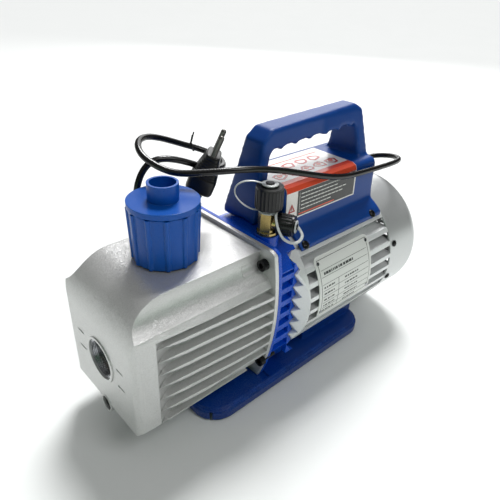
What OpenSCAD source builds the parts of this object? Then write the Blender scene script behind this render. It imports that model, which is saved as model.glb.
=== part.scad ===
// Rotary vane vacuum pump with direct drive motor.
// Millimetres. +Z up, pump axis along +X: sight glass end at -X, fan end at +X.
// Origin on the floor plane under the middle of the pump body.

/* [Casing] */
// half width of the oil casing at its front face
casing_hw = 56; // [54:0.5:57]
// height of the flat top of the oil casing
casing_top = 149; // [148:0.5:150]
// radius of the rounded slope between top and front face
front_r = 40; // [34:1:44]
// pitch of the side fins of the oil casing
fin_pitch = 13.3; // [12.8:0.1:13.6]
// thickness of one casing fin
fin_t = 3.2; // [2.6:0.2:4]

/* [Motor] */
// radius over the motor fins and the fan cover
motor_r = 73.7; // [73:0.1:74]
// height of the shaft axis
axis_z = 80; // [80:0.1:80.4]
// number of fins on each side of the motor
motor_fins = 8; // [8:1:8]

/* [Exhaust] */
// centre of the exhaust cap along the pump
cap_x = -118; // [-122:1:-114]
// radius of the wide rim of the exhaust cap
cap_rim_r = 29.4; // [28.5:0.1:30]

/* [Base] */
// half width of the base plate
base_hw = 65; // [63:1:67]
// thickness of the base plate
base_t = 12; // [11:0.5:12]

/* [Hidden] */
$fn = 64;
x0 = -187.5;          // front face
xf = -50;             // front of the casing flange
xg = -42;             // rear of the bracket flange
xm = -7;              // bracket to motor joint
xc = 127;             // front edge of the fan cover
x1 = 187.5;           // rear of the fan cover
foot_h = 2;           // rubber feet
lift = 9;             // height of the pump frame over the floor
base_z = foot_h;      // underside of the base
base_top = base_z + base_t;
case_bot = 17;
az = axis_z;
side_y = 59;          // half width over the side fins of the bracket
xt = -19;             // tips of the toothed rim at the front of the motor
fin_w = 4.6;          // thickness of a motor fin
fin_z = [for (k = [0:motor_fins - 1]) -46.9 + k * 14.2];  // fin heights about the axis
sg_z = 73.3;          // sight glass height
dr_z = 21;            // drain height
ecc = 2.5;            // eccentricity of the pump rotor
rot_r = 26;           // pump rotor radius
cyl_r = 28.9;         // pump chamber radius
in_x = -28; in_y = -29; in_z = 152.6;   // inlet fitting foot
side_az = -62;        // direction of the side port, degrees from +X
box_hw = 34; box_top = 193;
gl = [126.5, 14, 166];   // cord gland on the rear of the terminal box
cord_r = 2.9;
// centre line of the mains cord, from the gland to the plug
route = [[147, 14, 166], [168, 16, 166], [184, 9, 170], [191, -12, 175],
    [181, -32, 179], [158, -39, 181], [93, -39, 185], [57, -40, 188],
    [15, -37, 201], [-20, -26, 211], [-50, -20, 216], [-72, -8, 215],
    [-86, 4, 213], [-96, 14, 212], [-104, 26, 215], [-111, 42, 222],
    [-104, 60, 228], [-88, 70, 228], [-68, 71, 221], [-48, 69, 212],
    [-29, 62, 205], [-20, 45, 199], [-32, 27, 198], [-52, 24, 202],
    [-70, 30, 211], [-87, 36, 217], [-101, 41, 217], [-112, 42, 208],
    [-119, 42, 190], [-117, 41, 172], [-112, 39, 158], [-94, 38, 153],
    [-78, 35, 157], [-68, 30, 170], [-65, 27, 182]];
bolt = [[-51, 138], [51, 138], [-56, 30], [56, 30]];

// ---- helpers -------------------------------------------------------------
// cylinder along +X from x = a to x = b
module xcyl(a, b, r, y = 0, z = 0) translate([a, y, z]) rotate([0, 90, 0]) cylinder(h = b - a, r = r);
module xcone(a, b, ra, rb, y = 0, z = 0) translate([a, y, z]) rotate([0, 90, 0]) cylinder(h = b - a, r1 = ra, r2 = rb);
// a section drawn with (y, z) coordinates, swept from x = a to x = b
module xsec(a, b) translate([a, 0, 0]) rotate([90, 0, 90]) linear_extrude(b - a) children();
// a profile drawn with (x, z) coordinates, swept along Y between y = -w and y = w
module ysec(w) translate([0, w, 0]) rotate([90, 0, 0]) linear_extrude(2 * w) children();
module rrect(w, d, r) { // centred rounded rectangle
    square([w - 2 * r, d], center = true);
    square([w, d - 2 * r], center = true);
    for (sx = [-1, 1], sy = [-1, 1]) translate([sx * (w / 2 - r), sy * (d / 2 - r)]) circle(r);
}
module box(a, b) translate(a) cube(b - a);
// socket head screw along +X with its head at the -X end
module socket_screw(len, r, hr, hh) {
    difference() {
        union() { xcyl(0, hh, hr); xcyl(hh, hh + len, r); }
        translate([-1, 0, 0]) rotate([0, 90, 0]) cylinder(h = hh * 0.6 + 1, r = hr * 0.58, $fn = 6);
    }
}
// pan head screw along -Z, head on top at z = 0..hh
module pan_screw(len, r, hr, hh) {
    difference() {
        union() {
            intersection() { cylinder(h = hh, r = hr); translate([0, 0, hh - hr * 1.6]) sphere(hr * 1.6); }
            translate([0, 0, -len]) cylinder(h = len, r = r);
        }
        for (a = [0, 90]) rotate([0, 0, a]) box([-hr * 0.62, -0.5, hh * 0.4], [hr * 0.62, 0.5, hh + 1]);
    }
}

// ---- flange outline in (y, z) ----------------------------------------------
module flange2d(g = 0) {
    intersection() {
        translate([0, (153 + 3) / 2]) rrect(133 - 2 * g, 153 - 3 - 2 * g, 14);
        translate([270 - 66.5 + g, 97]) circle(270, $fn = 200);
        translate([-(270 - 66.5 + g), 97]) circle(270, $fn = 200);
    }
}
// ---- oil casing -------------------------------------------------------------
module case_front2d() { // (y, z)
    difference() {
        intersection() {
            translate([0, (casing_top + case_bot) / 2]) square([132, casing_top - case_bot], center = true);
            translate([270 - 65.6, 92]) circle(270, $fn = 200);
            translate([-(270 - 65.6), 92]) circle(270, $fn = 200);
            // lower corners cut back
            rotate(0) polygon([[-38, case_bot - 1], [38, case_bot - 1], [40, case_bot], [66, 37], [66, 112], [56, 123.5], [56, 160], [-56, 160], [-56, 123.5], [-66, 112], [-66, 37], [-40, case_bot]]);
        }
        for (s = [-1, 1]) translate([s * 65.5, 143.5]) circle(21.8);
    }
}
module case_side2d() { // (x, z)
    r2 = 9;
    translate([x0 + front_r, case_bot]) square([xf - x0 - front_r + 1, casing_top - case_bot]);
    translate([x0, case_bot + r2]) square([front_r + 1, casing_top - case_bot - front_r - r2]);
    translate([x0 + r2, case_bot]) square([front_r, 40]);
    translate([x0 + front_r, casing_top - front_r]) circle(front_r, $fn = 120);
    translate([x0 + r2, case_bot + r2]) circle(r2);
}
module case_plan2d(g = 0) { // (x, y)
    r = 7;
    h = casing_hw - g;
    polygon([[x0 + r, -h - (r * 0.065)], [xf + 1, -65.6 + g], [xf + 1, 65.6 - g], [x0 + r, h + (r * 0.065)]]);
    translate([x0, -h + r]) square([r * 2, 2 * h - 2 * r]);
    for (s = [-1, 1]) translate([x0 + r, s * (h - r + 0.35)]) circle(r);
}
module case_groove2d(s) { // (x, y) cutter of one gap between fins, side s
    R = 34;
    d = 9.5;
    // floor follows the taper of the side
    xr = x0 + 41;
    translate([xr, s * (59.3 - d)]) rotate(s * 3.9) translate([0, s > 0 ? 0 : -30]) square([xf - xr + 4, 30]);
    translate([xr, s * (59.3 - d + R)]) circle(R, $fn = 120);
}
module oil_casing_low() color([0.80, 0.81, 0.82]) {
    difference() {
        union() {
            intersection() {
                xsec(x0, xf + 0.5) case_front2d();
                ysec(80) case_side2d();
                linear_extrude(200) case_plan2d();
            }
            xsec(xf, xf + 4) flange2d();
            // sight glass and drain bosses
            xcyl(x0 - 1.0, x0 + 2, 20.8, 0, sg_z);
            xcyl(x0 - 0.6, x0 + 20, 8.2, 0, dr_z);
            // exhaust neck
            translate([cap_x, 0, casing_top - 1]) cylinder(h = 17, r = 21);
            // level marks
            for (s = [-1, 1], z = [64.7, 82.5]) box([x0 - 0.4, s * 32.5 - 5, z - 0.35], [x0 + 1, s * 32.5 + 5, z + 0.35]);
        }
        // gaps between the side fins, whose front ends come to a point
        for (s = [-1, 1], k = [0:6])
            let (zt = 111 - k * fin_pitch - fin_t, zb = k == 6 ? case_bot + 4 : 111 - (k + 1) * fin_pitch)
            intersection() {
                translate([0, 0, zb]) linear_extrude(zt - zb + fin_t - 0.2) intersection() { case_groove2d(s); translate([x0, -100]) square([xf - x0, 200]); }
                ysec(80) polygon([[x0 + 12, zb - 1], [xf + 1, zb - 1], [xf + 1, zt], [x0 + 46, zt], [x0 + 38, zt + 0.7], [x0 + 31, zt + 1.6], [x0 + 25, zt + fin_t], [x0 + 12, zt + fin_t]]);
            }
        for (s = [-1, 1]) translate([0, 0, 111]) linear_extrude(7) intersection() { case_groove2d(s); translate([x0, -100]) square([xf - x0, 200]); }
        // oil chamber, open to the rear
        difference() {
            box([x0 + 20, -41.5, case_bot + 7], [xf + 5, 41.5, 141]);
            xcyl(x0, x0 + 25, 25, 0, sg_z);
            // rounded ceiling at the front
            difference() {
                box([x0, -60, casing_top - front_r], [x0 + front_r, 60, 160]);
                translate([x0 + front_r, 60, casing_top - front_r]) rotate([90, 0, 0]) cylinder(h = 120, r = front_r - 8, $fn = 120);
            }
        }
        // sight glass seat and window
        xcyl(x0 - 2, x0 + 9, 18.4, 0, sg_z);
        xcyl(x0 + 8.9, x0 + 30, 13.5, 0, sg_z);
        // drain hole
        xcyl(x0 - 2, x0 + 30, 5.05, 0, dr_z);
        xcyl(x0 - 2, x0 + 5.0, 6.9, 0, dr_z);
        // exhaust opening
        translate([cap_x, 0, 130]) cylinder(h = 50, r = 16.5);
        // flange screws
        for (b = bolt) xcyl(xf - 1, xf + 6, 3.3, b[0], b[1]);
        // clearance for the heads and spotfaces in front of the flange
        for (b = bolt) xcyl(xf - 22, xf, 7.5, b[0], b[1]);
    }
}
module casing_gasket_low() color([0.12, 0.12, 0.13]) difference() {
    xsec(xf + 4, xf + 4.4) flange2d(0.6);
    box([xf, -41, case_bot + 8], [xf + 6, 41, 140]);
    for (b = bolt) xcyl(xf, xf + 6, 3.3, b[0], b[1]);
}
// ---- finned section shared by bracket and motor ------------------------------
module fins2d() { // bracket section (y, z), relative to the axis
    intersection() {
        circle(motor_r);
        union() {
            square([2 * side_y - 10, 128], center = true);
            for (k = [0:motor_fins - 1], s = [-1, 1])
                translate([s * 40, fin_z[k]]) square([2 * side_y - 80, 6], center = true);
            // rounded top land that carries the inlet fitting
            translate([0, 64]) square([116, 40], center = true);
            translate([0, -62]) square([84, 26], center = true);
        }
    }
}
module motor2d() { // motor section (y, z), relative to the axis
    intersection() {
        circle(motor_r);
        union() {
            circle(60);
            for (k = [0:motor_fins - 1], s = [-1, 1])
                translate([s * 55, fin_z[k]]) square([50, fin_w], center = true);
            translate([0, 60]) square([92, 40], center = true);
            translate([0, -62]) square([84, 26], center = true);
        }
    }
}
module core2d(g = 0) // tongue of the bracket that enters the toothed rim of the motor
    polygon([[-54 - g, -90], [54 + g, -90], [54 + g, 38], [46.7 + g, 38], [46.7 + g, 90], [-46.7 - g, 90], [-46.7 - g, 38], [-54 - g, 38]]);
module teeth2d() // (x, z) outline of the toothed rim
    polygon(concat([[xm + 0.1, fin_z[0] - 10.8]],
        [for (k = [0:motor_fins - 1], t = [0, 1]) t == 0 ? [xm - 5.8, fin_z[k] - 10.8] : [xt, fin_z[k]]],
        [[xm - 5.8, fin_z[motor_fins - 1] + 3.4], [xm + 0.1, fin_z[motor_fins - 1] + 3.4]]));
// ---- bracket between pump and motor ---------------------------------------------
module pump_bracket_low() color([0.05, 0.25, 0.75]) { front_hub(); difference() {
    union() {
        xsec(xf + 4.4, xg) flange2d();
        translate([0, 0, az]) xsec(xg, xt - 0.4) fins2d();
        translate([0, 0, az]) xsec(xt - 0.6, xm) intersection() { circle(motor_r - 0.5); core2d(); }
        // fingers between the teeth of the motor rim
        for (s = [0, 1]) mirror([0, s, 0]) translate([0, side_y, az]) rotate([90, 0, 0]) linear_extrude(6) difference() {
            translate([xt - 0.6, fin_z[0] - 11]) square([-xt + xm - 1.6, fin_z[motor_fins - 1] - fin_z[0] + 8]);
            translate([-0.4, 0]) teeth2d();
        }
        box([xg, -42, base_top - lift], [xm, 42, 40]);
        // boss of the inlet fitting
        translate([in_x, in_y, 130]) cylinder(h = in_z - 130, r = 11);
    }
    // rear cavity towards the motor
    xcyl(xg + 12, xm + 1, 49.5, 0, az);
    // bearing seat and shaft passage
    xcyl(xf, xg + 30, 12, 0, az);
    xcyl(xf + 4, xg + 6, 16.02, 0, az);
    // inlet passage
    translate([in_x, in_y, 120]) cylinder(h = 40, r = 4.5);
    for (b = bolt) xcyl(xf, xf + 20, 2.55, b[0], b[1]);
    for (a = [45:90:360]) xcyl(xf, xg + 9, 2.1, 34 * cos(a), az + 34 * sin(a));
    for (sx = [-1, 1]) translate([-25, sx * 34, 0]) cylinder(h = 30, r = 2.1);
} }
module front_hub() difference() {
    xcyl(xg + 12, xg + 27, 21, 0, az);
    xcyl(xg + 11, xg + 24, 17.5, 0, az);
    xcyl(xg + 23, xg + 28, 12, 0, az);
}
// ---- motor --------------------------------------------------------------------
module vents(a, b) for (s = [-1, 1], k = [1:motor_fins - 1]) translate([0, 0, az + (fin_z[k] + fin_z[k - 1]) / 2])
    box([a, s > 0 ? 36 : -80, -3.6], [b, s > 0 ? 80 : -36, 3.6]);
module front_rim() intersection() {
    translate([0, 0, az]) xsec(xt, xm + 0.1) difference() { circle(motor_r - 0.2); core2d(0.3); }
    translate([0, 80, az]) rotate([90, 0, 0]) linear_extrude(160) teeth2d();
    linear_extrude(200) polygon([[xt - 0.5, -side_y], [xm + 0.5, -motor_r], [xm + 0.5, motor_r], [xt - 0.5, side_y]]);
}
module motor_housing_low() color([0.82, 0.83, 0.84]) difference() {
    union() {
        translate([0, 0, az]) xsec(xm, xc + 3) motor2d();
        front_rim();
    }
    xcyl(xm - 1, xc + 4, 49.5, 0, az);
    // air slots between the fins near both ends
    vents(-5, 12);
    vents(106, 119);
    // seat of the fan cover
    difference() { xcyl(xc - 0.1, xc + 4, 90, 0, az); xcyl(xc - 1, xc + 5, 71.2, 0, az); }
    for (sx = [40, 92], s = [-1, 1]) translate([sx, s * 34, 0]) cylinder(h = 32, r = 2.1);
    // cable entry to the terminal box
    translate([60, 0, az + 55]) cylinder(h = 30, r = 9);
}
module motor_end_plate_low() color([0.62, 0.63, 0.65]) difference() {
    union() {
        xcyl(xc - 14, xc - 9, 49.4, 0, az);
        xcyl(xc - 26, xc - 3, 20, 0, az);
        for (a = [0:60:300]) translate([0, 0, az]) rotate([a, 0, 0]) box([xc - 22, -2, 17], [xc - 13, 2, 47]);
    }
    xcyl(xc - 27, xc - 11, 16.0, 0, az);
    xcyl(xc - 30, xc, 9, 0, az);
    for (a = [30:60:330]) xcyl(xc - 30, xc, 7, 34 * cos(a), az + 34 * sin(a));
}
module stator_core_low() color([0.35, 0.36, 0.38]) difference() {
    xcyl(22, 86, 49.4, 0, az);
    xcyl(21, 87, 28, 0, az);
    for (a = [0:15:345]) translate([0, 0, az]) rotate([a, 0, 0]) {
        box([21, -1.2, 27], [87, 1.2, 33]);
        box([21, -2.3, 30], [87, 2.3, 41]);
    }
}
module stator_windings_low() color([0.70, 0.36, 0.16]) {
    for (s = [0, 1]) translate([s ? 86.3 : 21.7, 0, az]) rotate([0, s ? 90 : -90, 0])
        difference() {
            rotate_extrude() translate([37, 5.5]) union() { circle(5.5); translate([-5.5, -5.5]) square([11, 5.5]); }
            translate([0, 0, -1]) cylinder(h = 30, r = 31);
        }
    for (a = [0:15:345]) translate([0, 0, az]) rotate([a, 0, 0]) box([21.7, -1.9, 32], [86.3, 1.9, 40.6]);
}
module motor_shaft_low() color([0.75, 0.76, 0.78]) {
    difference() {
        union() {
            xcyl(-106, -38, 7, 0, az);
            xcyl(-38, 20, 8.45, 0, az);
            xcyl(20, 90, 10.5, 0, az);
            xcyl(90, xc + 2, 7.95, 0, az);
            xcyl(xc + 2, xc + 30, 6.5, 0, az);
        }
        box([xc + 12, -10, az + 5.4], [xc + 31, 10, az + 20]);
    }
}
module rotor_core_low() color([0.55, 0.56, 0.58]) difference() {
    union() {
        xcyl(24, 84, 27.5, 0, az);
        xcyl(18, 90, 25, 0, az);
        for (a = [0:30:330], s = [0, 1]) translate([0, 0, az]) rotate([a, 0, 0]) box([s ? 89 : 12, -1.2, 18], [s ? 96 : 19, 1.2, 24]);
    }
    xcyl(10, 100, 10.5, 0, az);
}
module bearing(a, w, ri, ro) {
    difference() { xcyl(a, a + w, ro, 0, az); xcyl(a - 1, a + w + 1, ro - 3, 0, az); }
    difference() { xcyl(a, a + w, ri + 2.6, 0, az); xcyl(a - 1, a + w + 1, ri, 0, az); }
    difference() { xcyl(a + 0.8, a + w - 0.8, ro - 3, 0, az); xcyl(a, a + w, ri + 2.6, 0, az); }
}
module front_bearing_low() color([0.70, 0.72, 0.74]) bearing(xg + 13, 11, 8.5, 17.5);
module rear_bearing_low() color([0.70, 0.72, 0.74]) bearing(xc - 26.5, 11, 8, 16.0);
module shaft_seal_low() color([0.10, 0.10, 0.11]) difference() {
    xcyl(xf + 4.4, xg + 6, 16, 0, az);
    xcyl(xf, -38, 7.05, 0, az);
    xcyl(-38.4, xg + 10, 8.5, 0, az);
    xcyl(xf + 4, xg + 3, 11, 0, az);
}
module cooling_fan_low() color([0.16, 0.17, 0.18]) difference() {
    union() {
        xcyl(xc + 8, xc + 26, 12, 0, az);
        xcyl(xc + 8, xc + 10.5, 44, 0, az);
        for (a = [0:45:315]) translate([0, 0, az]) rotate([a, 0, 0]) box([xc + 8, -1.2, 10], [xc + 34, 1.2, 62]);
    }
    xcyl(xc, xc + 40, 6.5, 0, az);
}
module fan_cover_low() color([0.80, 0.81, 0.82]) difference() {
    translate([xc, 0, az]) rotate([0, 90, 0]) rotate_extrude($fn = 160) difference() {
        union() {
            square([motor_r, x1 - xc - 16]);
            square([motor_r - 16, x1 - xc]);
            translate([motor_r - 16, x1 - xc - 16]) circle(16);
        }
        translate([0, -1]) square([motor_r - 2.2, x1 - xc - 16 + 1]);
        square([motor_r - 16, x1 - xc - 2.2]);
        translate([motor_r - 16, x1 - xc - 16]) circle(13.8);
    }
    // air grille in the rear face
    for (i = [-6:6]) let (w = sqrt(54 * 54 - (i * 8.4) * (i * 8.4)))
        translate([x1 - 5, 0, az + i * 8.4]) rotate([90, 0, 90]) linear_extrude(10) difference() {
            square([2 * w, 4.4], center = true);
            for (sx = [-18, 18]) translate([sx, 0]) square([3, 10], center = true);
        }
    // screw holes
    for (a = [17, 163, 197, 343]) translate([xc + 7, 0, az]) rotate([a, 0, 0]) translate([0, 60, 0]) rotate([-90, 0, 0]) cylinder(h = 20, r = 1.7);
}
module fan_cover_screws_low() color([0.08, 0.08, 0.09]) for (a = [17, 163, 197, 343])
    translate([xc + 7, 0, az]) rotate([a - 90, 0, 0]) translate([0, 0, motor_r]) pan_screw(6, 1.65, 3.6, 2.2);
// ---- pump module in the oil chamber ----------------------------------------------
module pump_cylinder_low() color([0.45, 0.46, 0.48]) difference() {
    union() {
        xcyl(-96, -52, 37, 0, az - ecc);
        box([-94, -20, az + 24], [-54, 20, az + 40]);
    }
    xcyl(-97, -51, cyl_r, 0, az - ecc);
    // exhaust port
    translate([-74, 10, az]) cylinder(h = 60, r = 3.5);
    for (a = [45:90:360]) xcyl(-100, -50, 2.1, 34 * cos(a), az + 34 * sin(a));
    for (dx = [-11, 11]) translate([-74 + dx, 10, az + 30]) cylinder(h = 20, r = 1.5);
}
module pump_front_plate_low() color([0.52, 0.53, 0.55]) difference() {
    union() { xcyl(-106, -96, 37, 0, az - ecc); xcyl(-112, -105, 15, 0, az); }
    xcyl(-110, -90, 7.06, 0, az);
    for (a = [45:90:360]) xcyl(-113, -90, 2.1, 34 * cos(a), az + 34 * sin(a));
}
module pump_rear_plate_low() color([0.52, 0.53, 0.55]) difference() {
    xcyl(-52, xf + 4.4, 37, 0, az - ecc);
    xcyl(-60, -40, 7.06, 0, az);
    for (a = [45:90:360]) xcyl(-113, -40, 2.1, 34 * cos(a), az + 34 * sin(a));
}
module pump_screws_low() color([0.25, 0.25, 0.27]) for (a = [45:90:360])
    translate([-111, 34 * cos(a), az + 34 * sin(a)]) socket_screw(71, 2.05, 4, 5);
module pump_rotor_low() color([0.60, 0.61, 0.62]) difference() {
    xcyl(-95.7, -52.3, rot_r, 0, az);
    xcyl(-97, -50, 7, 0, az);
    for (s = [-1, 1]) box([-97, s > 0 ? 11 : -40, az - 2.1], [-50, s > 0 ? 40 : -11, az + 2.1]);
}
module vane(s) difference() {
    box([-95.4, s > 0 ? 15.8 : -rot_r + 0.2, az - 2.03], [-52.6, s > 0 ? rot_r - 0.2 : -15.8, az + 2.03]);
    for (x = [-86, -62]) translate([x, s > 0 ? 15 : -15 - 6.5, az]) rotate([-90, 0, 0]) cylinder(h = 6.5, r = 1.3);
}
module vane_a_low() color([0.20, 0.20, 0.21]) vane(1);
module vane_b_low() color([0.20, 0.20, 0.21]) vane(-1);
module vane_springs_low() color([0.8, 0.8, 0.82]) for (s = [-1, 1], x = [-86, -62])
    translate([x, s > 0 ? 11 : -16.2, az]) rotate([-90, 0, 0]) cylinder(h = 5.2, r = 0.95);
module exhaust_valve_low() color([0.72, 0.74, 0.78]) difference() {
    box([-80, 4, az + 40], [-57, 16, az + 40.4]);
    translate([-63, 10, az]) cylinder(h = 60, r = 1.6);
}
module valve_stop_low() color([0.5, 0.5, 0.52]) {
    difference() {
        union() {
            box([-66, 4, az + 40.4], [-57, 16, az + 42]);
            translate([-66, 4, az + 40.4]) rotate([0, 18, 0]) box([-15, 0, 0.3], [0, 12, 1.6]);
        }
        translate([-63, 10, az]) cylinder(h = 60, r = 1.5);
    }
    translate([-63, 10, az + 42]) pan_screw(8, 1.45, 3, 2);
}
// ---- sight glass and drain ---------------------------------------------------------
module sight_glass_seal_low() color([0.08, 0.08, 0.09]) difference() {
    xcyl(x0 + 8.1, x0 + 9, 18.3, 0, sg_z);
    xcyl(x0, x0 + 12, 14, 0, sg_z);
}
module sight_glass_low() color([0.65, 0.72, 0.74]) {
    xcyl(x0 + 5.6, x0 + 8.1, 18.3, 0, sg_z);
}
module sight_glass_ring_low() color([0.72, 0.73, 0.75]) difference() {
    xcyl(x0 + 0.6, x0 + 5.6, 18.38, 0, sg_z);
    xcyl(x0, x0 + 7, 16.2, 0, sg_z);
    for (x = [1.6, 2.9, 4.2]) translate([x0 + x, 0, sg_z]) rotate([0, 90, 0]) rotate_extrude() translate([16.2, 0]) rotate(45) square(0.62, center = true);
}
module drain_seal_low() color([0.09, 0.09, 0.10]) difference() {
    xcyl(x0 + 4.05, x0 + 4.95, 6.6, 0, dr_z);
    xcyl(x0, x0 + 8, 5.1, 0, dr_z);
}
module drain_plug_low() color([0.20, 0.20, 0.22]) difference() {
    union() { xcyl(x0 + 1.4, x0 + 4.0, 6.6, 0, dr_z); xcyl(x0 + 4, x0 + 15, 4.98, 0, dr_z); }
    translate([x0, 0, dr_z]) rotate([0, 90, 0]) cylinder(h = 3.2, r = 3.4, $fn = 6);
}
// ---- exhaust cap --------------------------------------------------------------------
module exhaust_seal_low() color([0.09, 0.09, 0.10]) translate([cap_x, 0, casing_top + 0.05]) difference() {
    cylinder(h = 1.1, r = 26);
    translate([0, 0, -1]) cylinder(h = 4, r = 21.3);
}
module exhaust_cap_low() color([0.07, 0.27, 0.62]) translate([cap_x, 0, casing_top + 1.2]) difference() {
    union() {
        cylinder(h = 47, r1 = 26.9, r2 = 28.2);
        translate([0, 0, 46]) cylinder(h = 4.6, r = cap_rim_r);
        translate([0, 0, 50]) cylinder(h = 15, r = 12.7);
        // grip flutes: slanted ribs round the skirt
        for (a = [0:30:330]) rotate([0, 0, a]) translate([26.3, 0, 0]) rotate([0, 2, 0]) cylinder(h = 46, r = 2.2);
    }
    // soft hollow between the ribs
    for (a = [15:30:345]) rotate([0, 0, a]) translate([44.5, 0, -1]) rotate([0, 1.6, 0]) cylinder(h = 46.5, r = 17.6);
    // bore over the neck
    translate([0, 0, -1]) cylinder(h = 18, r = 21.3);
    translate([0, 0, 16]) cylinder(h = 29, r = 22.8);
    translate([0, 0, 30]) cylinder(h = 60, r = 10.6);
    // groove under the rim
    difference() { translate([0, 0, 45]) cylinder(h = 1, r = 40); cylinder(h = 60, r = 27.6); }
}
module exhaust_filter_low() color([0.86, 0.85, 0.80]) translate([cap_x, 0, casing_top + 17.4]) difference() {
    cylinder(h = 28.5, r = 22.6);
    translate([0, 0, -1]) cylinder(h = 24, r = 12);
}
// ---- inlet fitting ------------------------------------------------------------------
module at_inlet() translate([in_x, in_y, in_z]) children();
module at_side() translate([in_x, in_y, in_z + 11.5]) rotate([0, 0, side_az]) rotate([0, 90, 0]) children();
module inlet_fitting_low() color([0.72, 0.58, 0.30]) difference() {
    union() {
        at_inlet() { cylinder(h = 3, r = 9.6); translate([0, 0, 3]) cylinder(h = 18.5, r = 9.2, $fn = 6); }
        at_inlet() translate([0, 0, 21]) cylinder(h = 3.5, r = 6.4);
        at_inlet() translate([0, 0, 24.4]) cylinder(h = 12.5, r = 5.6);
        at_side() cylinder(h = 9.2, r = 6.6);
        at_side() cylinder(h = 21, r = 5.0);
        at_inlet() translate([0, 0, -12]) cylinder(h = 12.1, r = 4.46);
    }
    at_inlet() translate([0, 0, -13]) cylinder(h = 60, r = 3.1);
    at_side() cylinder(h = 40, r = 2.6);
}
module inlet_screen_low() color([0.7, 0.7, 0.68]) at_inlet() translate([0, 0, -9]) difference() {
    cylinder(h = 8, r = 3.08);
    translate([0, 0, 0.5]) cylinder(h = 9, r = 2.6);
    for (a = [0:60:300]) rotate([0, 0, a]) box([0, -0.6, 1.5], [6, 0.6, 7]);
}
module cap_body(h, r, ri, depth, n) difference() {
    union() {
        cylinder(h = h, r = r);
        translate([0, 0, h]) cylinder(h = 1.0, r = r * 0.66);
        translate([0, 0, h + 0.9]) cylinder(h = 2.3, r = r * 0.30);
        for (a = [0:360 / n:359]) rotate([0, 0, a]) translate([r - 0.35, 0, 1]) cylinder(h = h - 3, r = 0.9, $fn = 16);
    }
    translate([0, 0, -1]) cylinder(h = depth + 1, r = ri);
}
module inlet_seal_top_low() color([0.75, 0.75, 0.73]) at_inlet() translate([0, 0, 36.95]) cylinder(h = 0.9, r = 5.5);
module inlet_cap_top_low() color([0.06, 0.06, 0.07]) at_inlet() translate([0, 0, 25.6]) cap_body(20.5, 12.2, 5.9, 12.3, 24);
module inlet_seal_side_low() color([0.75, 0.75, 0.73]) at_side() translate([0, 0, 21.05]) cylinder(h = 0.9, r = 4.9);
module inlet_cap_side_low() color([0.06, 0.06, 0.07]) at_side() translate([0, 0, 9.8]) cap_body(15, 9.6, 5.3, 12.2, 20);
// flat strap of width w and thickness t swept through short straight runs
module strap(p, r) for (i = [0:len(p) - 2]) let (a = p[i], b = p[i + 1], d = b - a, L = norm(d))
    translate(a) rotate([0, acos(d[2] / L), atan2(d[1], d[0])]) { cylinder(h = L, r = r); if (i > 0) sphere(r * 1.15); }
module tether_top_low() color([0.85, 0.86, 0.86]) {
    at_inlet() difference() { translate([0, 0, 47.3]) cylinder(h = 1.2, r = 7.6); cylinder(h = 60, r = 4.0); }
    at_inlet() difference() { translate([0, 0, 21.6]) cylinder(h = 1.4, r = 9.0); cylinder(h = 60, r = 6.5); }
    at_inlet() strap([[-4.5, 4.5, 47.9], [-10, 10, 50], [-16, 15, 49.5], [-20.5, 19.5, 46], [-22, 21, 40], [-20.5, 19.5, 34], [-17, 16, 28], [-11.5, 10.5, 23.6], [-5.6, 5.6, 22.25]], 0.7);
}
module tether_side_low() color([0.85, 0.86, 0.86]) {
    at_side() difference() { translate([0, 0, 26.0]) cylinder(h = 1.2, r = 6.0); cylinder(h = 60, r = 3.2); }
    at_inlet() difference() { translate([0, 0, 23.6]) cylinder(h = 1.2, r = 9.0); cylinder(h = 60, r = 6.5); }
    at_inlet() strap([[2, -7.8, 24.3], [-3.3, -13.1, 20.4], [-4.7, -18.3, 12], [-2.2, -22.8, 4.2], [3.4, -27.4, 0], [10, -30, 0], [16, -29.5, 4], [16.3, -21.6, 10.3]], 0.7);
}
// ---- fasteners ----------------------------------------------------------------------
module flange_screws_low() color([0.08, 0.08, 0.09]) for (b = bolt)
    translate([xf - 5.5, b[0], b[1]]) socket_screw(15, 2.5, 5.2, 5.5);
// ---- handle with terminal box -----------------------------------------------------------
module saddle2d() { // (y, z) section of the skirt over the motor
    intersection() {
        difference() {
            translate([0, az]) circle(motor_r + 4.2);
            translate([0, az]) circle(motor_r - 3);
        }
        translate([-52, az + 40]) square([104, 60]);
    }
}
module boxout2d(g = 0) { // (y, z) outline of the terminal box
    w = box_hw - g;
    t = box_top - g;
    polygon([[-w - 1.5, az + 64.5], [w + 1.5, az + 64.5], [w, t - 6], [w - 1.8, t - 1.8], [w - 6, t], [6 - w, t], [1.8 - w, t - 1.8], [-w, t - 6]]);
}
module grip_side2d() { // (x, z) outline of the hoop
    difference() {
        polygon([[-31, 152], [-21, 230], [-11, 240], [110, 246], [120, 240], [126.5, 192], [126.5, 150], [110, 150], [-12, 152]]);
        // finger opening
        difference() {
            polygon([[-15, box_top - 1], [-12.5, 216], [-8, 221.5], [103, 227.5], [108, 224], [110, box_top - 1]]);
            for (k = [0:5]) translate([2 + k * 19.5, 222.9 + k * 1.05]) circle(3.4);
        }
    }
}
module hoop2d() { // (y, z) outline of the hoop seen from the front
    polygon([[-13, 150], [-13.5, 195], [-11.5, 240], [-8, 248], [8, 248], [11.5, 240], [20, 200], [30, 160], [30, 150]]);
}
module rear_hoop2d() polygon([[-24, 150], [-22, 193], [-11.5, 240], [-8, 248], [8, 248], [11.5, 240], [22, 193], [24, 150]]);
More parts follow.
